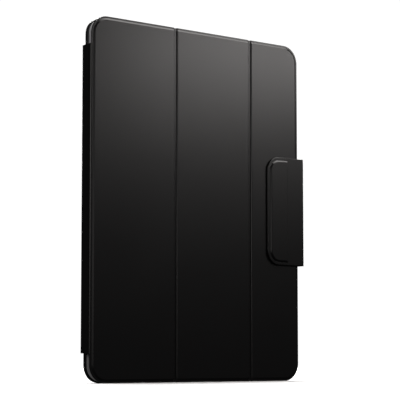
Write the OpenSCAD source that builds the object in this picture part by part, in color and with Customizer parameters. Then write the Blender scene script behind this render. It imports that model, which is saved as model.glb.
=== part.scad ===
// Folio case for a tablet: a stiff back cover, a spine, a front cover of three
// folding panels and a closure flap that wraps round the free edge.
//
// The case stands closed and upright. X runs from the spine to the flap, the front
// cover faces -Y, Z is up, and the origin is the middle of the footprint.
//
// The modules work in case coordinates: x from the spine edge of the covers, y from
// the front face of the front cover towards the back, z from the bottom edge.
// in_frame() moves that to the origin.

/* [Tablet space] */
// Width of the tablet that the case holds
tablet_w = 178.5; // [165:0.5:215]
// Height of the tablet
tablet_h = 247.6; // [235:0.1:285]
// Depth of the space for the tablet
bay_depth = 6.1; // [5.5:0.1:9]
// How far the covers reach past the tablet on each side
cover_margin = 1.2; // [1:0.1:2.5]

/* [Front cover] */
// Thickness of a front panel
panel_t = 2; // [1.8:0.1:3]
// Height of the raised panel face above its rim
face_rise = 0.6; // [0.3:0.1:0.8]
// Width of the flat rim round the front cover
rim_w = 1.2; // [0.6:0.1:2]
// Width of the bevel between the rim and the raised face
bevel_w = 1.3; // [0.6:0.1:2]
// Corner radius of the covers
corner_r = 12.5; // [8:0.5:16]
// First fold, as a share of the cover's width
fold_1_share = 0.384; // [0.36:0.002:0.4]
// Second fold, as a share of the cover's width
fold_2_share = 0.751; // [0.7:0.002:0.77]
// Width of a fold groove at the face
groove_w = 3.6; // [2.6:0.1:4.4]
// Width of the bare web at the bottom of a fold groove
web_w = 1.6; // [1:0.1:2.2]

/* [Back cover] */
// Thickness of the back cover
back_t = 4.1; // [3.6:0.1:5]
// How far the back cover stops short of the spine edge
back_inset = 1.45; // [1.45:0.05:2]
// Side of the square camera window
camera_w = 34; // [24:1:36]
// Corner radius of the camera window
camera_r = 9; // [4:0.5:11]
// Distance from the covers' top and side edges to the camera window
camera_edge = 8; // [7:0.5:14]

/* [Spine] */
// Thickness of the spine
spine_t = 2.2; // [2:0.1:2.4]
// How far the spine stops short of the covers' top and bottom
spine_end_gap = 20; // [14:1:60]

/* [Closure flap] */
// Height of the flap
flap_h = 80; // [60:1:110]
// How far the flap's tongue reaches over the front cover
tongue_reach = 30; // [26:0.5:34]
// Corner radius of the tongue
tongue_r = 10.5; // [6:0.5:14]
// Thickness of the flap's side strip
side_t = 2; // [1.6:0.1:2.4]
// Space between the cover's free edge and the flap's side strip
side_gap = 2.8; // [2:0.1:4]

/* [Hidden] */
$fn = 96;
eps = 0.01;
hull_fn = 32;

cover_w = tablet_w + 2 * cover_margin;
cover_h = tablet_h + 2 * cover_margin;
back_y = panel_t + bay_depth;
case_t = back_y + back_t;

// Layers of a front panel: skin, board in the skin's pocket, lining
lining_t = 0.4;
board_y = 0.9;
lining_y = panel_t - lining_t;
lining_inset = 1;
board_inset = rim_w + bevel_w + 1;
board_fold_inset = 2;
web_front = 0.3;
fold_pivot_y = (face_rise + panel_t) / 2;
fold_x = [fold_1_share * cover_w, fold_2_share * cover_w];

// Spine wall and its two corner folds
spine_x = [-0.8, -0.8 + spine_t];
spine_pivot_x = (spine_x[0] + spine_x[1]) / 2;
spine_skin_t = 0.7;
spine_lining_t = 0.5;
spine_board_inset = 0.8;
spine_z = [spine_end_gap, cover_h - spine_end_gap];
hinge_leaf = 1.4;
bend_reach = 1.1;
front_bend_y = fold_pivot_y + bend_reach;
rear_pivot_y = case_t - hinge_leaf / 2;
rear_bend_y = rear_pivot_y - bend_reach;
bend_x = 1;
bend_r = 1.4;
spine_cut_gap = 0.2;

// Layers of the back cover: lining, board in the skin's pocket, skin
back_lining_t = 0.4;
back_board_y = back_y + back_lining_t;
back_skin_t = 0.9;
back_board_t = back_t - back_lining_t - back_skin_t;
back_board_inset = 1.4;
ring_wall = 1.2;
ring_flange = 2.2;
ring_rise = 0.6;
magnet = [26, 1.2, 6];
magnet_edge = 14;
magnet_end = 78;
magnet_x = [magnet_edge, cover_w - magnet_edge];
magnet_z = [28, magnet_end, cover_h - magnet_end];
camera_x = [cover_w - camera_edge - camera_w, cover_w - camera_edge];
camera_z = [cover_h - camera_edge - camera_w, cover_h - camera_edge];

// Small magnets of the front cover, and the steel strip under the flap
edge_magnet = [4, 0.5, 18];
edge_magnet_end = 34;
edge_magnet_inset = 5;
edge_magnet_z = [edge_magnet_end, cover_h / 2, cover_h - edge_magnet_end];
panel_1_magnet_x = board_inset + edge_magnet_inset;
panel_3_magnet_x = cover_w - board_inset - edge_magnet_inset;
keeper = [12, 0.4, 52];

// Closure flap: root on the back face, side strip, tongue over the front
root_t = 1.4;
root_reach = 32;
side_x = [cover_w + side_gap, cover_w + side_gap + side_t];
side_pivot_x = (side_x[0] + side_x[1]) / 2;
side_skin_t = 1.2;
flap_z = [(cover_h - flap_h) / 2, (cover_h + flap_h) / 2];
tongue_gap = 0.2;
tongue_leaf = 1.3;
tongue_rise = 0.6;
tongue_lining_t = 0.4;
flap_leaf_gap = 1.4;
tongue_x = [cover_w - tongue_reach, side_pivot_x - flap_leaf_gap];
tongue_y = -tongue_gap - tongue_leaf;
tongue_pivot_y = -tongue_gap - tongue_leaf / 2;
tongue_rim = 3.2;
plate_w = 15;
plate_y = tongue_y + 0.1;
plate_t = 0.8;
keeper_x = tongue_x[0] + tongue_rim + plate_w / 2;
flap_magnet_r = 5;
flap_magnet_gap = 34;
flap_magnet_z = [(cover_h - flap_magnet_gap) / 2, (cover_h + flap_magnet_gap) / 2];
root_pivot_y = case_t + root_t / 2;
side_leaf_gap = 1.2;
side_y = [tongue_pivot_y + side_leaf_gap, root_pivot_y - side_leaf_gap];

mid_x = (spine_x[0] + side_x[1]) / 2;
mid_y = (tongue_y - tongue_rise + case_t + root_t) / 2;

black = [0.05, 0.05, 0.055];
grey = [0.42, 0.42, 0.43];
greyboard = [0.5, 0.47, 0.42];
steel = [0.72, 0.73, 0.75];

// ---- Shared shapes ----

module in_frame() {
  translate([-mid_x, -mid_y, 0])
    children();
}

// Box between two corners, each axis given as [low, high]
module block(x, y, z) {
  translate([x[0], y[0], z[0]])
    cube([x[1] - x[0], y[1] - y[0], z[1] - z[0]]);
}

// Outline in x and z with its own corner radius on the left and on the right
module outline(x, z, r_left, r_right) {
  translate([x[0] + r_left, z[0]])
    square([x[1] - x[0] - r_left - r_right, z[1] - z[0]]);
  if (r_left > 0)
    outline_end(x[0] + r_left, z, r_left, x[0]);
  if (r_right > 0)
    outline_end(x[1] - r_right, z, r_right, x[1] - r_right);
}

// The rounded end of an outline: two corner discs and the strip between them
module outline_end(centre_x, z, r, strip_x) {
  for (centre_z = [z[0] + r, z[1] - r])
    translate([centre_x, centre_z])
      circle(r);
  translate([strip_x, z[0] + r])
    square([r, z[1] - z[0] - 2 * r]);
}

// Extrudes an outline in x and z through the depth y
module sheet(y) {
  translate([0, y[1], 0])
    rotate([90, 0, 0])
      linear_extrude(y[1] - y[0])
        children();
}

// Raised face with a bevel: the low outline shrinks by bevel_left and bevel_right
module raised_face(x, z, y, r, bevel) {
  hull() {
    sheet([y[1] - eps, y[1]])
      outline(x, z, r[0], r[1], $fn = hull_fn);
    sheet([y[0], y[0] + eps])
      outline([x[0] + bevel[0], x[1] - bevel[1]], [z[0] + bevel[2], z[1] - bevel[2]],
        max(r[0] - bevel[0], 0), max(r[1] - bevel[1], 0), $fn = hull_fn);
  }
}

// ---- Front panels ----

// Edges of panel i: the free cover edge, or the web of a fold groove
function panel_x(i) = [
  i == 0 ? 0 : fold_x[i - 1] + web_w / 2,
  i == 2 ? cover_w : fold_x[i] - web_w / 2
];

// Corner radius at the left and right of panel i, for an outline set in by inset
function panel_r(i, inset) = [
  i == 0 ? corner_r - inset : 0,
  i == 2 ? corner_r - inset : 0
];

// Outline of panel i, set in from the cover's free edges and from its folds
module panel_outline(i, inset, fold_inset) {
  x = panel_x(i);
  r = panel_r(i, inset);
  left = i == 0 ? inset : fold_inset;
  right = i == 2 ? inset : fold_inset;
  outline([x[0] + left, x[1] - right], [inset, cover_h - inset], r[0], r[1]);
}

module panel_skin(i) {
  x = panel_x(i);
  slope = (groove_w - web_w) / 2;
  low_x = [x[0] + (i == 0 ? rim_w : 0), x[1] - (i == 2 ? rim_w : 0)];
  bevel = [i == 0 ? bevel_w : slope, i == 2 ? bevel_w : slope, bevel_w];
  difference() {
    union() {
      sheet([face_rise, lining_y])
        panel_outline(i, 0, 0);
      raised_face(low_x, [rim_w, cover_h - rim_w], [0, face_rise + eps],
        panel_r(i, rim_w), bevel);
    }
    sheet([board_y, lining_y + eps])
      panel_outline(i, board_inset, board_fold_inset);
  }
}

module panel_board(i) {
  sheet([board_y, lining_y])
    panel_outline(i, board_inset, board_fold_inset);
}

module panel_lining(i) {
  sheet([lining_y, panel_t])
    panel_outline(i, lining_inset, 0);
}

// Thin web that joins two panels at the bottom of a fold groove
module panel_crease(i) {
  block([fold_x[i] - web_w / 2, fold_x[i] + web_w / 2],
    [fold_pivot_y - web_front, panel_t], [rim_w, cover_h - rim_w]);
}

// Room that the front corner fold takes out of the first panel's rim
module spine_cut() {
  block([-1, bend_x], [-1, panel_t + 1],
    [spine_z[0] - spine_cut_gap, spine_z[1] + spine_cut_gap]);
}

// A row of thin magnets that lies in a board, centred on x
module edge_magnets(x) {
  for (z = edge_magnet_z)
    block([x - edge_magnet[0] / 2, x + edge_magnet[0] / 2],
      [lining_y - edge_magnet[1], lining_y], [z - edge_magnet[2] / 2, z + edge_magnet[2] / 2]);
}

module panel_1_skin() {
  color(black)
    in_frame()
      difference() {
        panel_skin(0);
        spine_cut();
      }
}

module panel_1_board() {
  color(greyboard)
    in_frame()
      difference() {
        panel_board(0);
        edge_magnets(panel_1_magnet_x);
      }
}

module panel_1_lining() {
  color(grey)
    in_frame()
      difference() {
        panel_lining(0);
        spine_cut();
      }
}

module panel_1_magnets() {
  color(steel)
    in_frame()
      edge_magnets(panel_1_magnet_x);
}

module panel_crease_1() {
  color(black)
    in_frame()
      panel_crease(0);
}

module panel_2_skin() {
  color(black)
    in_frame()
      panel_skin(1);
}

module panel_2_board() {
  color(greyboard)
    in_frame()
      panel_board(1);
}

module panel_2_lining() {
  color(grey)
    in_frame()
      panel_lining(1);
}

module panel_crease_2() {
  color(black)
    in_frame()
      panel_crease(1);
}

module panel_3_skin() {
  color(black)
    in_frame()
      panel_skin(2);
}

module keeper_strip() {
  block([keeper_x - keeper[0] / 2, keeper_x + keeper[0] / 2],
    [board_y, board_y + keeper[1]], [(cover_h - keeper[2]) / 2, (cover_h + keeper[2]) / 2]);
}

module panel_3_board() {
  color(greyboard)
    in_frame()
      difference() {
        panel_board(2);
        edge_magnets(panel_3_magnet_x);
        keeper_strip();
      }
}

module panel_3_lining() {
  color(grey)
    in_frame()
      panel_lining(2);
}

module panel_3_magnets() {
  color(steel)
    in_frame()
      edge_magnets(panel_3_magnet_x);
}

module closure_keeper() {
  color(steel)
    in_frame()
      keeper_strip();
}

// ---- Spine ----

// Layer of the spine between its two folds; inset keeps it back from its four ends
module spine_layer(x, inset) {
  block(x, [front_bend_y + inset, rear_bend_y - inset],
    [spine_z[0] + inset, spine_z[1] - inset]);
}

module spine_outer_skin() {
  color(black)
    in_frame()
      difference() {
        spine_layer([spine_x[0], spine_x[1] - spine_lining_t], 0);
        spine_layer([spine_x[0] + spine_skin_t, spine_x[1]], spine_board_inset);
      }
}

module spine_board() {
  color(greyboard)
    in_frame()
      spine_layer([spine_x[0] + spine_skin_t, spine_x[1] - spine_lining_t],
        spine_board_inset);
}

module spine_lining() {
  color(grey)
    in_frame()
      spine_layer([spine_x[1] - spine_lining_t, spine_x[1]], 0);
}

// Solid fold that fills a corner: it starts at the rounded outer corner and reaches
// x_len and y_len from it, which are negative towards -X and -Y.
module corner_fold(corner, x_len, y_len, z) {
  translate([corner[0], corner[1], z[0]])
    mirror([x_len < 0 ? 1 : 0, 0, 0])
      mirror([0, y_len < 0 ? 1 : 0, 0])
        linear_extrude(z[1] - z[0])
          intersection() {
            square([abs(x_len), abs(y_len)]);
            union() {
              translate([bend_r, bend_r])
                circle(bend_r);
              translate([bend_r, 0])
                square([abs(x_len), abs(y_len)]);
              translate([0, bend_r])
                square([abs(x_len), abs(y_len)]);
            }
          }
}

module spine_front_crease() {
  color(black)
    in_frame()
      corner_fold([spine_x[0], face_rise], bend_x - spine_x[0], front_bend_y - face_rise,
        spine_z);
}

module spine_rear_crease() {
  color(black)
    in_frame()
      corner_fold([spine_x[0], case_t], back_inset - spine_x[0], rear_bend_y - case_t,
        spine_z);
}

// ---- Back cover ----

// Outline of the back cover, set in from all its edges
module back_outline(inset) {
  outline([back_inset + inset, cover_w - inset], [inset, cover_h - inset],
    corner_r - inset, corner_r - inset);
}

// Outline of the camera window, made larger by grow
module camera_outline(grow) {
  outline([camera_x[0] - grow, camera_x[1] + grow], [camera_z[0] - grow, camera_z[1] + grow],
    camera_r + grow, camera_r + grow);
}

module camera_cut() {
  sheet([back_y - 1, case_t + 1])
    camera_outline(ring_wall);
}

module magnet_bars() {
  for (x = magnet_x, z = magnet_z)
    block([x - magnet[2] / 2, x + magnet[2] / 2], [back_board_y, back_board_y + magnet[1]],
      [z - magnet[0] / 2, z + magnet[0] / 2]);
}

module back_outer_skin() {
  color(black)
    in_frame()
      difference() {
        sheet([back_board_y, case_t])
          back_outline(0);
        sheet([back_board_y - eps, back_board_y + back_board_t])
          back_outline(back_board_inset);
        camera_cut();
      }
}

module back_board() {
  color(greyboard)
    in_frame()
      difference() {
        sheet([back_board_y, back_board_y + back_board_t])
          back_outline(back_board_inset);
        camera_cut();
        magnet_bars();
      }
}

module back_lining() {
  color(grey)
    in_frame()
      difference() {
        sheet([back_y, back_board_y])
          back_outline(lining_inset);
        camera_cut();
      }
}

module back_magnets() {
  color(steel)
    in_frame()
      magnet_bars();
}

module camera_ring() {
  color(black)
    in_frame()
      difference() {
        union() {
          sheet([back_y, case_t])
            camera_outline(ring_wall);
          sheet([case_t, case_t + ring_rise])
            camera_outline(ring_flange);
        }
        sheet([back_y - 1, case_t + ring_rise + 1])
          camera_outline(0);
      }
}

// ---- Closure flap ----

module flap_root() {
  color(black)
    in_frame()
      sheet([case_t, case_t + root_t])
        outline([cover_w - root_reach, tongue_x[1]], flap_z, tongue_r, 0);
}

module flap_rear_crease() {
  color(black)
    in_frame()
      corner_fold([side_x[1], case_t + root_t], tongue_x[1] - side_x[1],
        side_y[1] - case_t - root_t, flap_z);
}

module flap_front_crease() {
  color(black)
    in_frame()
      corner_fold([side_x[1], tongue_y], tongue_x[1] - side_x[1], side_y[0] - tongue_y,
        flap_z);
}

module flap_side_skin() {
  color(black)
    in_frame()
      block([side_x[1] - side_skin_t, side_x[1]], side_y, flap_z);
}

module flap_side_lining() {
  color(grey)
    in_frame()
      block([side_x[0], side_x[1] - side_skin_t], side_y, flap_z);
}

// Outline of the tongue, set in from its free edges
module tongue_outline(inset) {
  outline([tongue_x[0] + inset, tongue_x[1]], [flap_z[0] + inset, flap_z[1] - inset],
    tongue_r - inset, 0);
}

// Outline of the stiffener in the tongue
module stiffener_outline() {
  outline([tongue_x[0] + tongue_rim, tongue_x[0] + tongue_rim + plate_w],
    [flap_z[0] + tongue_rim, flap_z[1] - tongue_rim], tongue_r - tongue_rim, 0);
}

module flap_tongue_skin() {
  color(black)
    in_frame()
      difference() {
        union() {
          sheet([tongue_y, -tongue_gap - tongue_lining_t])
            tongue_outline(0);
          sheet([tongue_y - tongue_rise, tongue_y])
            stiffener_outline();
        }
        sheet([plate_y, plate_y + plate_t + 1])
          stiffener_outline();
      }
}

module flap_tongue_lining() {
  color(grey)
    in_frame()
      sheet([-tongue_gap - tongue_lining_t, -tongue_gap])
        tongue_outline(lining_inset);
}

module flap_discs() {
  for (z = flap_magnet_z)
    translate([keeper_x, plate_y + plate_t, z])
      rotate([90, 0, 0])
        cylinder(r = flap_magnet_r, h = plate_t);
}

module flap_tongue_plate() {
  color(greyboard)
    in_frame()
      difference() {
        sheet([plate_y, plate_y + plate_t])
          stiffener_outline();
        flap_discs();
      }
}

module flap_magnets() {
  color(steel)
    in_frame()
      flap_discs();
}

// ---- Assembly ----

back_outer_skin();
back_board();
back_lining();
back_magnets();
camera_ring();
flap_root();
spine_rear_crease();
spine_outer_skin();
spine_board();
spine_lining();
spine_front_crease();
panel_1_skin();
panel_1_board();
panel_1_lining();
panel_1_magnets();
panel_crease_1();
panel_2_skin();
panel_2_board();
panel_2_lining();
panel_crease_2();
panel_3_skin();
panel_3_board();
panel_3_lining();
panel_3_magnets();
closure_keeper();
flap_rear_crease();
flap_side_skin();
flap_side_lining();
flap_front_crease();
flap_tongue_skin();
flap_tongue_lining();
flap_tongue_plate();
flap_magnets();
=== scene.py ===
# %% [markdown]
# # A folio case for a tablet
# The case is a sandwich: soft-touch covering outside, boards inside it and a brushed
# lining next to the tablet. It stands closed and empty. The frame is loaded first,
# because every piece takes its place, its body and its limits of size from it.

# %% Load the frame
import math

import bmesh
import bpy
from mathutils import Matrix, Vector


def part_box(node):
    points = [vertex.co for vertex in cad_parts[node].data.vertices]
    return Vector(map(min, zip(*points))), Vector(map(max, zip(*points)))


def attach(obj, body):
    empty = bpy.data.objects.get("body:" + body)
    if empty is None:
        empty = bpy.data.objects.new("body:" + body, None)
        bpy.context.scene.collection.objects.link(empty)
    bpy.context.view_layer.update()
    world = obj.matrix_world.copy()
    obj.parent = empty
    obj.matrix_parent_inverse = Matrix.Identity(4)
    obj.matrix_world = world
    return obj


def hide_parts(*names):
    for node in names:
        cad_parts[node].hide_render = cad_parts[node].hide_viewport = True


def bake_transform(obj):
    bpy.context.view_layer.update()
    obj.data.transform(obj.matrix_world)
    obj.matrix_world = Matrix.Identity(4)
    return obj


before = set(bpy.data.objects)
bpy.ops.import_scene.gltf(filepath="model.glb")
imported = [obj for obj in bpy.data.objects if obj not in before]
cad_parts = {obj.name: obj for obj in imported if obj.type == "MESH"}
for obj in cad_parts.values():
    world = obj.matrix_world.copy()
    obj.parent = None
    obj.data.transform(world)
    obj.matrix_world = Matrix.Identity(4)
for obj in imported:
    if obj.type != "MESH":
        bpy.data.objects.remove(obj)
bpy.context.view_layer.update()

# %% [markdown]
# ## Case coordinates
# A folio is easiest to think of in millimetres from its own edges: s runs from the spine
# edge across the cover, t goes from the front face to the back, and z is up. Each piece
# is shaped in those, and is moved to the frame when it is finished. Shaping in metres would
# work as well, but the sizes would be harder to read. Points closer than NEAR are one point.

# %% Case coordinates
MM = 0.001
cover_low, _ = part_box("panel_1_skin")
TO_FRAME = Matrix.Translation((cover_low.x, cover_low.y, 0.0)) @ Matrix.Scale(MM, 4)
TO_CASE = TO_FRAME.inverted()


def spans(node):
    """The (low, high) pairs of a CAD node's box along s, t and z, in millimetres."""
    low, high = (TO_CASE @ Vector(corner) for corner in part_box(node))
    return tuple((low[i], high[i]) for i in range(3))


NEAR = 1e-4
CORNER_R = 12.5
COVER_S = (spans("panel_1_skin")[0][0], spans("panel_3_skin")[0][1])
COVER_T, COVER_Z = spans("panel_1_skin")[1:]
LINING_T = spans("panel_1_lining")[1]
print("cover:", [round(high - low, 1) for low, high in (COVER_S, COVER_T, COVER_Z)], "mm")

# %% [markdown]
# ## Plates
# Nearly every layer is a plate with round corners. It starts as one square face that is
# stretched to size and stood up; a vertex bevel rounds the corners, and an extrusion
# gives the thickness. Working from a face keeps the corners of all layers alike.

# %% Plate helpers
CORNER_STEPS = 14
UNIT_HALF = 0.5


def outline(bm, s, z, t, r_left=0.0, r_right=0.0, segments=CORNER_STEPS):
    """One upright face at depth t, its left and right corners rounded."""
    verts = bmesh.ops.create_grid(bm, x_segments=1, y_segments=1, size=UNIT_HALF)["verts"]
    middle = ((s[0] + s[1]) / 2, t, (z[0] + z[1]) / 2)
    place = Matrix.Translation(middle) @ Matrix.Rotation(math.radians(90), 4, "X")
    size = Matrix.Diagonal((s[1] - s[0], z[1] - z[0], 1.0, 1.0))
    bmesh.ops.transform(bm, matrix=place @ size, verts=verts)
    left = [v for v in verts if v.co.x < middle[0]]
    right = [v for v in verts if v.co.x > middle[0]]
    for radius, corners in ((r_left, left), (r_right, right)):
        if radius > 0:
            bmesh.ops.bevel(bm, geom=corners, offset=radius, segments=segments, profile=0.5,
                            affect="VERTICES", material=-1)
    return next(f for f in bm.faces if all(abs(v.co.y - t) < NEAR for v in f.verts))


def extrude_to(bm, face, t):
    """Extrudes an upright face to depth t and gives back the face that moved."""
    start = face.verts[0].co.y
    pulled = bmesh.ops.extrude_face_region(bm, geom=[face])["geom"]
    moved = [g for g in pulled if isinstance(g, bmesh.types.BMVert)]
    bmesh.ops.translate(bm, vec=(0.0, t - start, 0.0), verts=moved)
    bmesh.ops.recalc_face_normals(bm, faces=bm.faces)
    return next(g for g in pulled if isinstance(g, bmesh.types.BMFace))


def plate(s, t, z, r_left=0.0, r_right=0.0, segments=CORNER_STEPS):
    """A closed plate; gives its bmesh and its front face."""
    bm = bmesh.new()
    return bm, extrude_to(bm, outline(bm, s, z, t[1], r_left, r_right, segments), t[0])


print("plate helpers ready")

# %% [markdown]
# ## Soft edges
# No edge of glued covering is sharp. Rounding them all by a fraction of a millimetre lets
# each catch a thin line of light. A Bevel modifier would round every edge alike; the
# operator takes only the edges that are wanted. Where two pieces butt, the cut is made
# after the rounding, so that the joint stays flush.

# %% Rounding helpers
def in_front_of(t):
    """A test for edges that lie wholly in front of depth t."""
    return lambda edge: max(v.co.y for v in edge.verts) < t


def behind(t):
    """A test for edges that lie wholly behind depth t."""
    return lambda edge: min(v.co.y for v in edge.verts) > t


def round_edges(bm, width, wanted=lambda edge: True, angle=20, segments=3):
    """Rounds the edges sharper than angle for which wanted(edge) is true."""
    sharp = [e for e in bm.edges if len(e.link_faces) == 2
             and e.calc_face_angle(0.0) > math.radians(angle) and wanted(e)]
    bmesh.ops.bevel(bm, geom=sharp, offset=width, segments=segments, profile=0.5,
                    affect="EDGES", material=-1, clamp_overlap=True)


print("rounding helpers ready")

# %% [markdown]
# ## Cuts
# A straight cut is a bisecting plane whose hole is filled, and that keeps the faces clean. A
# window or a pocket is cut with a Boolean, which costs a messier mesh round its edge. The
# tool sticks out past the piece by OVERCUT, because a face shared by both would be unclear.

# %% Cutting helpers
OVERCUT = 1.0


def cut_at(bm, s, keep):
    """Cuts at s, keeps the side that keep points to, and gives the new cut's edges."""
    everything = bm.verts[:] + bm.edges[:] + bm.faces[:]
    bmesh.ops.bisect_plane(bm, geom=everything, plane_co=(s, 0, 0), plane_no=(-keep, 0, 0),
                           clear_outer=True)
    bmesh.ops.holes_fill(bm, edges=[e for e in bm.edges if e.is_boundary], sides=0)
    return [e for e in bm.edges if all(abs(v.co.x - s) < NEAR for v in e.verts)]


def subtract(bm, tool):
    """Takes the closed shape tool out of bm with an exact Boolean."""
    shapes = []
    for label, shape in (("cut_body", bm), ("cut_tool", tool)):
        bmesh.ops.recalc_face_normals(shape, faces=shape.faces)
        mesh = bpy.data.meshes.new(label)
        shape.to_mesh(mesh)
        shapes.append(bpy.data.objects.new(label, mesh))
        bpy.context.collection.objects.link(shapes[-1])
    tool.free()
    body, cutter = shapes
    cut = body.modifiers.new("cut", "BOOLEAN")
    cut.operation, cut.solver, cut.object = "DIFFERENCE", "EXACT", cutter
    result = body.evaluated_get(bpy.context.evaluated_depsgraph_get()).to_mesh()
    bm.clear()
    bm.from_mesh(result)
    for shape in shapes:
        bpy.data.objects.remove(shape)


print("cutting helpers ready")

# %% [markdown]
# ## Finishing a piece
# One function ends every piece: it merges doubles, turns the faces outwards, moves the
# shape to the frame and hides the CAD nodes that the piece stands for. Weighted normals keep
# the big faces flat in the light while the narrow rounded edges shade softly. Edges turned
# by more than SHARP are marked, so that the cap of a cut can't tilt its neighbours' shading.

# %% Finish helper
SHARP = math.radians(40)
BIG_FACE_WEIGHT = 80


def finish_piece(bm, name, materials, replaced, body=None):
    """Turns a bmesh into a named piece and, if body is given, rides it on that body."""
    bmesh.ops.remove_doubles(bm, verts=bm.verts, dist=NEAR)
    bmesh.ops.recalc_face_normals(bm, faces=bm.faces)
    bmesh.ops.transform(bm, matrix=TO_FRAME, verts=bm.verts)
    for face in bm.faces:
        face.smooth = True
    for edge in bm.edges:
        edge.smooth = edge.calc_face_angle(0.0) < SHARP
    loose = sum(1 for e in bm.edges if not e.is_manifold)
    mesh = bpy.data.meshes.new(name)
    bm.to_mesh(mesh)
    bm.free()
    for material in materials:
        mesh.materials.append(material)
    piece = bpy.data.objects.new(name, mesh)
    bpy.context.collection.objects.link(piece)
    even = piece.modifiers.new("even_normals", "WEIGHTED_NORMAL")
    even.weight, even.keep_sharp = BIG_FACE_WEIGHT, True
    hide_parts(*replaced)
    if body:
        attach(piece, body)
    print(f"{name}: {len(mesh.polygons)} faces, {loose} open edges")
    return piece


print("finish helper ready")

# %% [markdown]
# ## Surface effects
# Two effects are shared by several finishes, so each is a node group. Fine grain is a
# field of tiny cells broken up by noise, with a slow drift of tone over it. Handling marks
# are broad, faint cloudy patches where fingers have polished the matt surface. The sockets
# are made through the group's interface, so each material can give its own values.

# %% Group helper
FLOAT = "NodeSocketFloat"


def new_group(name, inputs, outputs):
    """An empty node group with float sockets; gives the group and its two end nodes."""
    group = bpy.data.node_groups.new(name, "ShaderNodeTree")
    for label, value in inputs:
        socket = group.interface.new_socket(label, in_out="INPUT", socket_type=FLOAT)
        socket.default_value = value
    for label in outputs:
        group.interface.new_socket(label, in_out="OUTPUT", socket_type=FLOAT)
    return group, group.nodes.new("NodeGroupInput"), group.nodes.new("NodeGroupOutput")


print("group helper ready")

# %% [markdown]
# ## Fine grain
# Pressed covering has pebbles of about a third of a millimetre. Cells alone look like a net,
# and noise alone looks like sand; one times the other gives pebbles of uneven height.

# %% Group: fine grain
def fine_grain():
    """Drift of tone and height of the grain, both on Object coordinates."""
    scales = (("Grain Scale", 2500.0), ("Drift Scale", 25.0))
    group, start, end = new_group("fine_grain", scales, ("Drift", "Height"))
    nodes, links = group.nodes, group.links
    place = nodes.new("ShaderNodeTexCoord")
    drift = nodes.new("ShaderNodeTexNoise")
    drift.inputs["Detail"].default_value = 3.0
    cells = nodes.new("ShaderNodeTexVoronoi")
    cells.feature = "SMOOTH_F1"
    breaks = nodes.new("ShaderNodeTexNoise")
    breaks.inputs["Detail"].default_value = 4.0
    both = nodes.new("ShaderNodeMath")
    both.operation = "MULTIPLY"
    for texture, scale in ((drift, "Drift Scale"), (cells, "Grain Scale"),
                           (breaks, "Grain Scale")):
        links.new(place.outputs["Object"], texture.inputs["Vector"])
        links.new(start.outputs[scale], texture.inputs["Scale"])
    links.new(cells.outputs["Distance"], both.inputs[0])
    links.new(breaks.outputs["Fac"], both.inputs[1])
    links.new(drift.outputs["Fac"], end.inputs["Drift"])
    links.new(both.outputs[0], end.inputs["Height"])
    return group


FINE_GRAIN = fine_grain()
print("group:", FINE_GRAIN.name, len(FINE_GRAIN.nodes), "nodes")

# %% [markdown]
# ## Handling marks
# Fingers leave a matt surface a little smoother where they hold it. The mask is one soft
# noise with its middle range stretched, and it stays low: strong marks look like dirt.

# %% Group: handling marks
def handling_marks():
    """Mask of the patches that hands have polished, from 0 to Amount."""
    values = (("Scale", 14.0), ("Amount", 0.5))
    group, start, end = new_group("handling_marks", values, ("Mask",))
    nodes, links = group.nodes, group.links
    place = nodes.new("ShaderNodeTexCoord")
    cloud = nodes.new("ShaderNodeTexNoise")
    cloud.inputs["Detail"].default_value = 1.0
    patch = nodes.new("ShaderNodeMapRange")
    patch.interpolation_type = "SMOOTHSTEP"
    patch.inputs["From Min"].default_value = 0.3
    patch.inputs["From Max"].default_value = 0.8
    links.new(place.outputs["Object"], cloud.inputs["Vector"])
    links.new(start.outputs["Scale"], cloud.inputs["Scale"])
    links.new(cloud.outputs["Fac"], patch.inputs["Value"])
    links.new(start.outputs["Amount"], patch.inputs["To Max"])
    links.new(patch.outputs["Result"], end.inputs["Mask"])
    return group


HANDLING_MARKS = handling_marks()
print("group:", HANDLING_MARKS.name, len(HANDLING_MARKS.nodes), "nodes")

# %% [markdown]
# ## Finishes
# Soft-touch polyurethane is nearly black and matt, but not dull: a broad, dim sheen slides
# over it, and that is most of what the eye sees. The microfibre lining is lighter, has no
# gloss and shows its nap as sheen at grazing angles. Greyboard and plated steel are seen
# only at an edge or in a cut model.

# %% Material helper
GRAIN_DEPTH = 0.05


def finish(name, dark, light, rough, grain, drift, relief, marks=0.0):
    """A Principled material: two tones, a range of roughness, grain and handling marks."""
    material = bpy.data.materials.new(name)
    material.use_nodes = True
    nodes, links = material.node_tree.nodes, material.node_tree.links
    shader = nodes["Principled BSDF"]
    surface = nodes.new("ShaderNodeGroup")
    surface.node_tree = FINE_GRAIN
    surface.inputs["Grain Scale"].default_value = grain
    surface.inputs["Drift Scale"].default_value = drift
    polish = nodes.new("ShaderNodeGroup")
    polish.node_tree = HANDLING_MARKS
    polish.inputs["Amount"].default_value = marks
    tone = nodes.new("ShaderNodeMix")
    tone.data_type = "RGBA"
    tone.inputs["A"].default_value = (*dark, 1.0)
    tone.inputs["B"].default_value = (*light, 1.0)
    gloss = nodes.new("ShaderNodeMapRange")
    gloss.inputs["To Min"].default_value, gloss.inputs["To Max"].default_value = rough
    smoother = nodes.new("ShaderNodeMath")
    smoother.operation = "SUBTRACT"
    bump = nodes.new("ShaderNodeBump")
    bump.inputs["Strength"].default_value = relief
    bump.inputs["Distance"].default_value = GRAIN_DEPTH * MM
    links.new(surface.outputs["Drift"], tone.inputs["Factor"])
    links.new(surface.outputs["Drift"], gloss.inputs["Value"])
    links.new(gloss.outputs["Result"], smoother.inputs[0])
    links.new(polish.outputs["Mask"], smoother.inputs[1])
    links.new(surface.outputs["Height"], bump.inputs["Height"])
    links.new(tone.outputs["Result"], shader.inputs["Base Color"])
    links.new(smoother.outputs[0], shader.inputs["Roughness"])
    links.new(bump.outputs["Normal"], shader.inputs["Normal"])
    return material, shader


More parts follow.
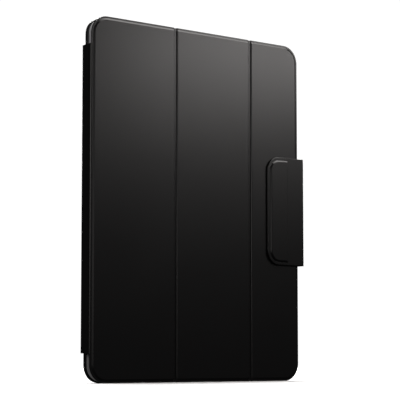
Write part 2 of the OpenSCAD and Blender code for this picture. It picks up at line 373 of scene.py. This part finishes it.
print("material helper ready")

# %% [markdown]
# ## The five finishes
# One helper serves all five, because they differ only in tone, roughness, grain and relief.
# Sheen and metal are the same all over a surface, so they are set on the shader's sockets.

# %% Materials
LEATHER, _ = finish("soft_touch_black", (0.0040, 0.0040, 0.0043), (0.0054, 0.0052, 0.0054),
                    rough=(0.28, 0.30), grain=2600.0, drift=18.0, relief=0.2, marks=0.01)
LINING, lining = finish("microfibre_grey", (0.42, 0.42, 0.43), (0.5, 0.5, 0.51),
                        rough=(0.85, 0.95), grain=3200.0, drift=60.0, relief=0.5)
lining.inputs["Sheen Weight"].default_value = 0.3
lining.inputs["Sheen Roughness"].default_value = 0.4
BOARD, _ = finish("greyboard", (0.28, 0.25, 0.2), (0.4, 0.36, 0.3),
                  rough=(0.85, 0.95), grain=900.0, drift=40.0, relief=0.5)
STEEL, steel = finish("plated_steel", (0.5, 0.5, 0.52), (0.62, 0.62, 0.64),
                      rough=(0.28, 0.36), grain=1500.0, drift=50.0, relief=0.1, marks=0.05)
steel.inputs["Metallic"].default_value = 1.0
TRIM, _ = finish("ring_trim", (0.008, 0.008, 0.009), (0.012, 0.012, 0.013),
                 rough=(0.26, 0.32), grain=1800.0, drift=30.0, relief=0.12, marks=0.04)
print("materials:", [m.name for m in (LEATHER, LINING, BOARD, STEEL, TRIM)])

# %% [markdown]
# ## Front cover
# The three panels are one board-filled sheet, pressed down along two folds. Here each
# panel is cut out of the same whole cover, so rim, bevel and corners run on across the
# folds. The cut's front edge is then rounded far down, which makes the wall of the groove.

# %% The whole cover
RIM_W = 1.2
BEVEL_W = 1.3
FACE_RISE = 0.6
rim_t = COVER_T[0] + FACE_RISE


def whole_cover():
    """The uncut front cover: a plate with a flat rim, a bevel and a raised face."""
    bm, front = plate(COVER_S, (rim_t, COVER_T[1]), COVER_Z, CORNER_R, CORNER_R)
    bmesh.ops.inset_region(bm, faces=[front], thickness=RIM_W, depth=0.0, use_even_offset=True)
    bmesh.ops.inset_region(bm, faces=[front], thickness=BEVEL_W, depth=FACE_RISE,
                           use_even_offset=True)
    return bm


print("whole cover ready, its rim at t", round(rim_t, 2))

# %% [markdown]
# ## Room for the boards
# The covering is turned over a greyboard, which is a CAD part of its own. A pocket in the
# back of each panel leaves room for it; the back face is inset and pushed in, so that the
# panel stays one closed shell.

# %% Board pockets
POCKET_INSET = 1.9
POCKET_DEPTH = 0.7


def board_pocket(bm):
    """Sinks the pocket for the board into the back of a panel."""
    back = [f for f in bm.faces if all(abs(v.co.y - COVER_T[1]) < NEAR for v in f.verts)]
    bmesh.ops.inset_region(bm, faces=back, thickness=POCKET_INSET, depth=0.0)
    sunk = bmesh.ops.extrude_face_region(bm, geom=back)["geom"]
    bmesh.ops.delete(bm, geom=back, context="FACES_ONLY")
    moved = [g for g in sunk if isinstance(g, bmesh.types.BMVert)]
    bmesh.ops.translate(bm, vec=(0.0, -POCKET_DEPTH, 0.0), verts=moved)


print("pocket:", POCKET_DEPTH, "mm deep")

# %% [markdown]
# ## Cutting the panels
# The first and third panels keep the cover's own edge on one side. The wall of each cut is
# rounded in steps, all other edges get a small radius, and the first panel is notched where
# the spine's fold strip lies on it.

# %% Front panels
GROOVE_WALL = 1.0
GROOVE_STEPS = 5
EDGE_R = 0.22
EDGE_BAND = 0.1
WEBS = [spans("panel_crease_1")[0], spans("panel_crease_2")[0]]
LEAF_S, _, SPINE_Z = spans("spine_front_crease")
PANEL_EDGES = [(None, WEBS[0][0]), (WEBS[0][1], WEBS[1][0]), (WEBS[1][1], None)]


def front_panel(number, edges):
    """Panel number, cut from the cover between two edges; None is the cover's own edge."""
    bm = whole_cover()
    is_front = in_front_of(rim_t + NEAR)
    for s, keep in zip(edges, (1, -1)):
        if s is not None:
            walls = [e for e in cut_at(bm, s, keep) if is_front(e)]
            bmesh.ops.bevel(bm, geom=walls, offset=GROOVE_WALL, segments=GROOVE_STEPS,
                            profile=0.5, affect="EDGES", material=-1, clamp_overlap=False)
    board_pocket(bm)
    round_edges(bm, EDGE_R, in_front_of(COVER_T[1] - EDGE_BAND))
    if edges[0] is None:
        notch, _ = plate((LEAF_S[0] - OVERCUT, LEAF_S[1]),
                         (COVER_T[0] - OVERCUT, COVER_T[1] + OVERCUT), SPINE_Z)
        subtract(bm, notch)
    return finish_piece(bm, f"panel_{number}_covering", [LEATHER],
                        [f"panel_{number}_skin"], f"front_panel_{number}")


for number, edges in enumerate(PANEL_EDGES, 1):
    front_panel(number, edges)

# %% [markdown]
# ## Linings of the panels
# Each lining is a thin sheet glued to the panel's inner face, a millimetre short of its
# edge. It is cut from one whole sheet for the same reason as the panels, and its edge is
# rounded over as a folded hem would be.

# %% Panel linings
LINING_INSET = 1.0
HEM_R = 0.15


def panel_lining(number, edges):
    """Lining of one front panel, cut from the whole sheet between two edges."""
    s = (COVER_S[0] + LINING_INSET, COVER_S[1] - LINING_INSET)
    z = (COVER_Z[0] + LINING_INSET, COVER_Z[1] - LINING_INSET)
    corner = CORNER_R - LINING_INSET
    bm, _ = plate(s, LINING_T, z, corner, corner)
    for at, keep in zip(edges, (1, -1)):
        if at is not None:
            cut_at(bm, at, keep)
    round_edges(bm, HEM_R, behind(LINING_T[1] - NEAR))
    return finish_piece(bm, f"panel_{number}_microfibre", [LINING],
                        [f"panel_{number}_lining"], f"front_panel_{number}")


for number, edges in enumerate(PANEL_EDGES, 1):
    panel_lining(number, edges)

# %% [markdown]
# ## Fold webs
# In a fold there is no board, only covering and lining glued together. The web bends when
# a panel turns, so it is a strip with many narrow columns.
# It is a cross-section drawn flat and pulled up along the fold.

# %% Fold webs
WEB_COLUMNS = 12
WEB_LINING_T = 0.3
WEB_T = spans("panel_crease_1")[1]
WEB_Z = (COVER_Z[0] + EDGE_R, COVER_Z[1] - EDGE_R)


def fold_web(number, s):
    """Web between two panels; its outside is covering, its inside is lining."""
    bm = bmesh.new()
    grid = bmesh.ops.create_grid(bm, x_segments=WEB_COLUMNS, y_segments=2,
                                 size=UNIT_HALF)["verts"]
    size = Matrix.Diagonal((s[1] - s[0], WEB_T[1] - WEB_T[0], 1.0, 1.0))
    place = Matrix.Translation(((s[0] + s[1]) / 2, (WEB_T[0] + WEB_T[1]) / 2, WEB_Z[0]))
    bmesh.ops.transform(bm, matrix=place @ size, verts=grid)
    pulled = bmesh.ops.extrude_face_region(bm, geom=bm.faces[:])["geom"]
    top = [g for g in pulled if isinstance(g, bmesh.types.BMVert)]
    bmesh.ops.translate(bm, vec=(0.0, 0.0, WEB_Z[1] - WEB_Z[0]), verts=top)
    for face in bm.faces:
        is_inside = face.calc_center_median().y > WEB_T[1] - WEB_LINING_T
        face.material_index = 1 if is_inside else 0
    web = finish_piece(bm, f"fold_web_{number}", [LEATHER, LINING],
                       [f"panel_crease_{number}"])
    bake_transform(web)


for number, s in enumerate(WEBS, 1):
    fold_web(number, s)

# %% [markdown]
# ## Camera window
# The back has a window for the cameras. Its outline is needed four times: for the covering,
# the lining, the pocket and the ring, each a little larger or smaller. So it is one tool that
# can be grown, and a Boolean cuts it from each layer.

# %% Window tool
RING_S, RING_T, RING_Z = spans("camera_ring")
WINDOW_R = 9.0
WINDOW_STEPS = 10
RING_WALL = 1.2
RING_REACH = 2.2


def grown(span, by):
    """The span made longer by the same amount at both ends."""
    return (span[0] - by, span[1] + by)


WINDOW_S, WINDOW_Z = grown(RING_S, -RING_REACH), grown(RING_Z, -RING_REACH)


def window_plate(by, t):
    """A plate of the window's outline, grown by a distance; gives it and its front face."""
    radius = WINDOW_R + by
    return plate(grown(WINDOW_S, by), t, grown(WINDOW_Z, by), radius, radius, WINDOW_STEPS)


def window_tool(by, t):
    """A cutting tool of the window's outline between two depths, grown by a distance."""
    bm, _ = window_plate(by, grown(t, OVERCUT))
    return bm


print("window:", [round(high - low, 1) for low, high in (WINDOW_S, WINDOW_Z)], "mm")

# %% [markdown]
# ## Back cover
# The back is a flat board in covering. Its rear edge is rounded more than the others,
# because the covering is turned over a thick board there. The edges are rounded before the
# window is cut, so that they don't run into it.

# %% Back covering
BACK_S, BACK_T, BACK_Z = spans("back_outer_skin")
BACK_SPINE_R = CORNER_R - 1.0
BACK_EDGE_R = 1.2
BACK_EDGE_STEPS = 5
BOARD_INSET = 1.4
THROUGH = (0.0, 20.0)
bm, _ = plate(BACK_S, BACK_T, BACK_Z, BACK_SPINE_R, CORNER_R)
round_edges(bm, BACK_EDGE_R, behind(BACK_T[1] - NEAR), segments=BACK_EDGE_STEPS)
round_edges(bm, EDGE_R, in_front_of(BACK_T[0] + NEAR))
subtract(bm, window_tool(RING_WALL, BACK_T))
board_s, board_t, board_z = spans("back_board")
pocket, _ = plate(board_s, (board_t[0] - OVERCUT, board_t[1]), board_z,
                  BACK_SPINE_R - BOARD_INSET, CORNER_R - BOARD_INSET)
subtract(pocket, window_tool(RING_REACH, THROUGH))
subtract(bm, pocket)
finish_piece(bm, "back_covering", [LEATHER], ["back_outer_skin"], "back_cover")

# %% [markdown]
# ## Lining of the back
# The tablet lies against this sheet. It is glued in a millimetre short of the edge, and its
# front edge is rounded over like the linings of the panels.

# %% Back lining
LINED_S, LINED_T, LINED_Z = spans("back_lining")
bm, _ = plate(LINED_S, LINED_T, LINED_Z, BACK_SPINE_R - LINING_INSET, CORNER_R - LINING_INSET)
round_edges(bm, HEM_R, in_front_of(LINED_T[0] + NEAR))
subtract(bm, window_tool(RING_WALL, LINED_T))
finish_piece(bm, "back_microfibre", [LINING], ["back_lining"], "back_cover")

# %% [markdown]
# ## Fold strips
# The case has four folds where only covering goes round a corner: two on the spine and two
# on the flap. Each is a ribbon: an arc is spun from one point, its ends are drawn out
# straight, the line is pulled up into a sheet, and the sheet gets its thickness. A curve
# with a bevel could make it too; this way the bend has real columns of faces,
# from the wall it leaves to the leaf it reaches.

# %% Fold strip helper
ARC_STEPS = 16
LEG_STEPS = 2


def draw_out(bm, vert, vec, steps):
    """Extends a line from its end vertex in equal steps and gives back the new end."""
    for _ in range(steps):
        pulled = bmesh.ops.extrude_vert_indiv(bm, verts=[vert])["verts"]
        bmesh.ops.translate(bm, vec=vec / steps, verts=pulled)
        vert = pulled[0]
    return vert


def fold_strip(name, node, corner, wall_end, leaf_end, z, radius, thick):
    """Ribbon round an outer corner (s, t), from wall_end (a t) to leaf_end (an s)."""
    towards_s = 1 if leaf_end > corner[0] else -1
    towards_t = 1 if wall_end > corner[1] else -1
    centre = Vector((corner[0] + towards_s * radius, corner[1] + towards_t * radius, z[0]))
    bm = bmesh.new()
    first = bmesh.ops.create_vert(bm, co=(corner[0], centre.y, z[0]))["vert"][0]
    spun = bmesh.ops.spin(bm, geom=[first], cent=centre, axis=(0, 0, 1), steps=ARC_STEPS,
                          angle=math.radians(90) * towards_s * towards_t, use_duplicate=False)
    last = next(g for g in spun["geom_last"] if isinstance(g, bmesh.types.BMVert))
    draw_out(bm, first, Vector((0, wall_end - centre.y, 0)), LEG_STEPS)
    draw_out(bm, last, Vector((leaf_end - centre.x, 0, 0)), LEG_STEPS)
    sheet = bmesh.ops.extrude_edge_only(bm, edges=bm.edges[:])["geom"]
    top = [g for g in sheet if isinstance(g, bmesh.types.BMVert)]
    bmesh.ops.translate(bm, vec=(0, 0, z[1] - z[0]), verts=top)
    bmesh.ops.recalc_face_normals(bm, faces=bm.faces)
    outer = next(f for f in bm.faces if abs(f.calc_center_median().x - corner[0]) < 10 * NEAR)
    if outer.normal.x * towards_s > 0:
        bmesh.ops.reverse_faces(bm, faces=bm.faces)
    bmesh.ops.solidify(bm, geom=bm.faces[:], thickness=thick)
    strip = finish_piece(bm, name, [LEATHER], [node])
    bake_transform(strip)
    return strip


print("fold strip helper ready")

# %% [markdown]
# ## Spine
# The spine is a narrow board that covers the tablet's long edge, between the two fold
# strips. It stops short of the top and the bottom, which leaves the round corners of the
# covers free. Its lining lies on the tablet's side.

# %% Spine
SPINE_S, SPINE_T, _ = spans("spine_outer_skin")
SPINE_LINING_S, _, _ = spans("spine_lining")
SPINE_BOARD = spans("spine_board")
bm, _ = plate(SPINE_S, SPINE_T, SPINE_Z)
pocket, _ = plate((SPINE_BOARD[0][0], SPINE_S[1] + OVERCUT), *SPINE_BOARD[1:])
subtract(bm, pocket)
finish_piece(bm, "spine_covering", [LEATHER], ["spine_outer_skin"], "spine")
bm, _ = plate(SPINE_LINING_S, SPINE_T, SPINE_Z)
finish_piece(bm, "spine_microfibre", [LINING], ["spine_lining"], "spine")

# %% [markdown]
# ## Folds of the spine
# One strip turns from the spine onto the first panel, in the notch that the panel has for
# it. The other turns onto the back and laps over its rounded edge, a hair proud, so that the
# two surfaces don't lie in one plane and flicker.

# %% Spine folds
STRIP_T = 1.2
BEND_R = 1.4
REAR_PROUD = 0.05
REAR_LEAF = 3.2
fold_strip("spine_front_fold", "spine_front_crease",
           (SPINE_S[0], rim_t), SPINE_T[0], LEAF_S[1], SPINE_Z, BEND_R, STRIP_T)
fold_strip("spine_rear_fold", "spine_rear_crease",
           (SPINE_S[0], BACK_T[1] + REAR_PROUD), SPINE_T[1], REAR_LEAF, SPINE_Z, BEND_R, STRIP_T)

# %% [markdown]
# ## Camera window's ring
# A moulded ring lines the window and stands a little proud of the back, so that the camera
# glass never touches the table. It is a flange whose front face is inset and drawn forward
# into a sleeve; the window is cut through both at the end. The face that was drawn forward
# is deleted, because it would stay inside as a wall.

# %% Camera ring
RING_EDGE_R = 0.35
RING_MOUTH_R = 0.2
bm, front = window_plate(RING_REACH, (BACK_T[1], RING_T[1]))
bmesh.ops.inset_region(bm, faces=[front], thickness=RING_REACH - RING_WALL, depth=0.0)
extrude_to(bm, front, RING_T[0])
bmesh.ops.delete(bm, geom=[front], context="FACES_ONLY")
is_rear = behind(RING_T[1] - NEAR)
round_edges(bm, RING_EDGE_R, is_rear)
subtract(bm, window_tool(0.0, RING_T))
round_edges(bm, RING_MOUTH_R, is_rear)
finish_piece(bm, "camera_window_ring", [TRIM], ["camera_ring"], "back_cover")

# %% [markdown]
# ## Closure flap: root and side
# The flap is one strap: its root is sewn flat on the back, it turns round the free edge as
# a side strip, and its tongue lies on the front. The pressed line of the root is two insets,
# one down and one up. Plates that end in a fold are made too long and cut back after their
# edges are rounded, so that the cut end stays square.

# %% Flap root
ROOT_S, ROOT_T, FLAP_Z = spans("flap_root")
OVERRUN = 20.0
ROOT_R = 9.0
SOFT_R = 0.4
PRESS_INSET = 2.4
PRESS_W = 0.35
PRESS_DEPTH = 0.2
FACING_SIDEWAYS = 0.1


def on_wall(edge):
    """Whether an edge borders a face that stands across the depth."""
    return any(abs(f.normal.y) < FACING_SIDEWAYS for f in edge.link_faces)


bm, _ = plate((ROOT_S[0], ROOT_S[1] + OVERRUN), ROOT_T, FLAP_Z, ROOT_R, 0.0)
is_rear = behind(ROOT_T[1] - NEAR)
back = next(f for f in bm.faces if all(abs(v.co.y - ROOT_T[1]) < NEAR for v in f.verts))
for thickness, depth in ((PRESS_INSET, 0.0), (PRESS_W, -PRESS_DEPTH), (PRESS_W, PRESS_DEPTH)):
    bmesh.ops.inset_region(bm, faces=[back], thickness=thickness, depth=depth)
round_edges(bm, SOFT_R, lambda e: is_rear(e) and on_wall(e))
cut_at(bm, ROOT_S[1], -1)
finish_piece(bm, "flap_root_covering", [LEATHER], ["flap_root"], "back_cover")

# %% Flap side strip
SIDE_S, SIDE_T, _ = spans("flap_side_skin")
bm, _ = plate(SIDE_S, SIDE_T, FLAP_Z)
finish_piece(bm, "flap_side_covering", [LEATHER], ["flap_side_skin"], "flap_side")
bm, _ = plate(spans("flap_side_lining")[0], SIDE_T, FLAP_Z)
finish_piece(bm, "flap_side_microfibre", [LINING], ["flap_side_lining"],
             "flap_side")

# %% [markdown]
# ## Closure flap: tongue
# The tongue has a thin pressed border and a raised plate over the stiffener, so it is built
# as nested insets on one plate: border, groove wall, groove, bevel. The groove's wall is
# nearly upright, because a slanting one would catch the light below the plate. The plate
# ends at a pressed line, and the smooth bridge beyond it carries on to the fold.

# %% Tongue's plate
TONGUE_S, TONGUE_T, _ = spans("flap_tongue_skin")
BRIDGE_T = spans("flap_front_crease")[1][0]
PLATE_MARGIN = 0.4
PLATE_END = spans("flap_tongue_plate")[0][1] + PLATE_MARGIN
TONGUE_R = 10.5
SOFT_STEPS = 4
BORDER_W = 1.9
GROOVE_SIDE = 0.12
GROOVE_W = 0.35
GROOVE_DEPTH = 0.2
PLATE_BEVEL = 1.1
PLATE_END_R = 0.3
PLATE_RISE = BRIDGE_T - TONGUE_T[0]
is_front = in_front_of(BRIDGE_T + NEAR)
bm, front = plate((TONGUE_S[0], TONGUE_S[1] + OVERRUN), (BRIDGE_T, TONGUE_T[1]), FLAP_Z,
                  TONGUE_R, 0.0)
for thickness, depth in ((BORDER_W, 0.0), (GROOVE_SIDE, -GROOVE_DEPTH), (GROOVE_W, 0.0),
                         (PLATE_BEVEL, GROOVE_DEPTH + PLATE_RISE)):
    bmesh.ops.inset_region(bm, faces=[front], thickness=thickness, depth=depth)
round_edges(bm, SOFT_R, lambda e: on_wall(e) and is_front(e), segments=SOFT_STEPS)
cut_at(bm, PLATE_END, -1)
round_edges(bm, PLATE_END_R, in_front_of(BRIDGE_T - EDGE_BAND))
finish_piece(bm, "flap_tongue_plate_cover", [LEATHER], ["flap_tongue_skin"],
             "flap_tongue")

# %% Tongue's bridge and lining
bm, _ = plate((PLATE_END, TONGUE_S[1]), (BRIDGE_T, TONGUE_T[1]), FLAP_Z)
round_edges(bm, SOFT_R, lambda e: abs(e.verts[0].co.z - e.verts[1].co.z) < NEAR
            and is_front(e), segments=SOFT_STEPS)
finish_piece(bm, "flap_tongue_bridge", [LEATHER], ["flap_tongue_skin"],
             "flap_tongue")
lining_s, lining_t, lining_z = spans("flap_tongue_lining")
bm, _ = plate(lining_s, lining_t, lining_z, TONGUE_R - LINING_INSET, 0.0)
round_edges(bm, HEM_R, behind(lining_t[1] - NEAR))
finish_piece(bm, "flap_tongue_microfibre", [LINING], ["flap_tongue_lining"],
             "flap_tongue")

# %% [markdown]
# ## Folds of the flap
# The flap opens at two folds, one at the front edge and one at the back. They are the same
# ribbon as on the spine, turned round the free edge.

# %% Flap folds
fold_strip("flap_front_fold", "flap_front_crease",
           (SIDE_S[1], BRIDGE_T), SIDE_T[0], TONGUE_S[1], FLAP_Z, BEND_R, STRIP_T)
fold_strip("flap_rear_fold", "flap_rear_crease",
           (SIDE_S[1], ROOT_T[1]), SIDE_T[1], ROOT_S[1], FLAP_Z, BEND_R, STRIP_T)

# %% [markdown]
# ## Hidden parts
# Boards, magnets and the keeper are plain cut shapes, and the CAD model already has them
# right. They keep their solids and only get the finish of greyboard or plated steel.

# %% Finishes of the carried-over parts
HIDDEN = {"_board": BOARD, "_plate": BOARD, "_magnets": STEEL, "_keeper": STEEL}
for node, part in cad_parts.items():
    for ending, material in HIDDEN.items():
        if node.endswith(ending):
            part.data.materials.clear()
            part.data.materials.append(material)
            print(node, "->", material.name)

# %% [markdown]
# ## Stage
# The floor is pale and plain. It takes the shadow, but it is kept out of reflections, so
# that it doesn't lift the black from below.

# %% Floor
FLOOR_REACH = 6.0
bm = bmesh.new()
bmesh.ops.create_grid(bm, x_segments=1, y_segments=1, size=FLOOR_REACH)
floor_mesh = bpy.data.meshes.new("floor")
bm.to_mesh(floor_mesh)
bm.free()
floor = bpy.data.objects.new("floor", floor_mesh)
bpy.context.collection.objects.link(floor)
FLOOR_WHITE, floor_shader = finish("pale_floor", (0.88, 0.88, 0.88), (0.9, 0.9, 0.9),
                                   rough=(0.8, 0.9), grain=400.0, drift=2.0, relief=0.0)
floor_shader.inputs["Specular IOR Level"].default_value = 0.0
floor_mesh.materials.append(FLOOR_WHITE)
floor.visible_diffuse = False
floor.visible_glossy = False
print("floor:", [round(v, 1) for v in floor.dimensions], "m")

# %% [markdown]
# ## Light
# A matt black face shows only what it reflects. A large soft box stands where the face
# mirrors it, with its lower edge just above the case: the top of the face sees it and the
# bottom doesn't, and that gives the long slide from grey to black. The other boxes draw the
# edges, the bevels, the spine and the back, and a dim one fills the front for other views.

# %% Soft boxes
STUDIO_WARM = (1.0, 0.965, 0.95)


def soft_box(name, location, target, size, power):
    """A rectangular area light at location, turned towards target."""
    light = bpy.data.lights.new(name, "AREA")
    light.shape = "RECTANGLE"
    light.size, light.size_y = size
    light.energy = power
    light.color = STUDIO_WARM
    box = bpy.data.objects.new(name, light)
    bpy.context.collection.objects.link(box)
    aim = Vector(target) - Vector(location)
    turn = aim.to_track_quat("-Z", "Y").to_matrix().to_4x4()
    box.matrix_world = Matrix.Translation(location) @ turn
    return box


soft_box("face_box", (0.72, -0.7, 0.49), (0.05, 0.0, 0.49), (0.56, 0.16), 1.85)
soft_box("edge_box", (0.9, 0.5, 0.5), (0.1, 0.0, 0.12), (0.4, 0.8), 4.0)
soft_box("bevel_box", (0.52, -0.45, 1.1), (0.0, 0.0, 0.25), (0.95, 0.4), 6.0)
soft_box("spine_box", (-0.9, -0.6, 0.5), (-0.09, 0.0, 0.2), (0.5, 0.6), 2.0)
soft_box("back_box", (0.55, 0.8, 0.5), (0.0, 0.0, 0.25), (0.8, 0.5), 12.0)
soft_box("front_fill", (-0.85, -1.2, 0.3), (0.0, 0.0, 0.15), (1.2, 0.5), 1.2)

# %% [markdown]
# ## Sky and backdrop
# A broad sun from above whitens the floor and draws the upper edges. The world adds a little
# light all round, but the camera sees it as white. One world can't be both dim and white, so
# a Light Path node picks between two backgrounds.

# %% Sun and world
WORLD_FILL = 0.022
BACKDROP = 1.05
SUN_TO = (0.0, -0.2, -1.0)
sun = bpy.data.lights.new("sky_sun", "SUN")
sun.energy = 3.75
sun.angle = math.radians(20)
sun_object = bpy.data.objects.new("sky_sun", sun)
bpy.context.collection.objects.link(sun_object)
sun_object.matrix_world = Vector(SUN_TO).to_track_quat("-Z", "Y").to_matrix().to_4x4()

world = bpy.data.worlds.new("studio")
world.use_nodes = True
bpy.context.scene.world = world
nodes, links = world.node_tree.nodes, world.node_tree.links
dim = nodes["Background"]
dim.inputs["Color"].default_value = (1.0, 1.0, 1.0, 1.0)
dim.inputs["Strength"].default_value = WORLD_FILL
white = nodes.new("ShaderNodeBackground")
white.inputs["Color"].default_value = (1.0, 1.0, 1.0, 1.0)
white.inputs["Strength"].default_value = BACKDROP
ray = nodes.new("ShaderNodeLightPath")
choose = nodes.new("ShaderNodeMixShader")
links.new(ray.outputs["Is Camera Ray"], choose.inputs["Fac"])
links.new(dim.outputs["Background"], choose.inputs[1])
links.new(white.outputs["Background"], choose.inputs[2])
links.new(choose.outputs["Shader"], nodes["World Output"].inputs["Surface"])
bpy.context.scene.view_settings.view_transform = "Standard"

# %% [markdown]
# ## Camera
# The camera stands low, about a metre from the case on the spine's side, and looks almost
# level. A small upward shift keeps the upright edges close to parallel.

# %% Camera
LOOK_UP = 4.55
LOOK_ROUND = -36.07
lens = bpy.data.cameras.new("camera")
lens.lens = 125.6
lens.sensor_width = 36.0
lens.shift_y = 0.1075
camera = bpy.data.objects.new("camera", lens)
bpy.context.collection.objects.link(camera)
camera.location = (-0.5822, -0.8021, 0.0196)
camera.rotation_euler = (math.radians(90 + LOOK_UP), 0.0, math.radians(LOOK_ROUND))
bpy.context.scene.camera = camera
print("camera:", [round(v, 3) for v in camera.location])
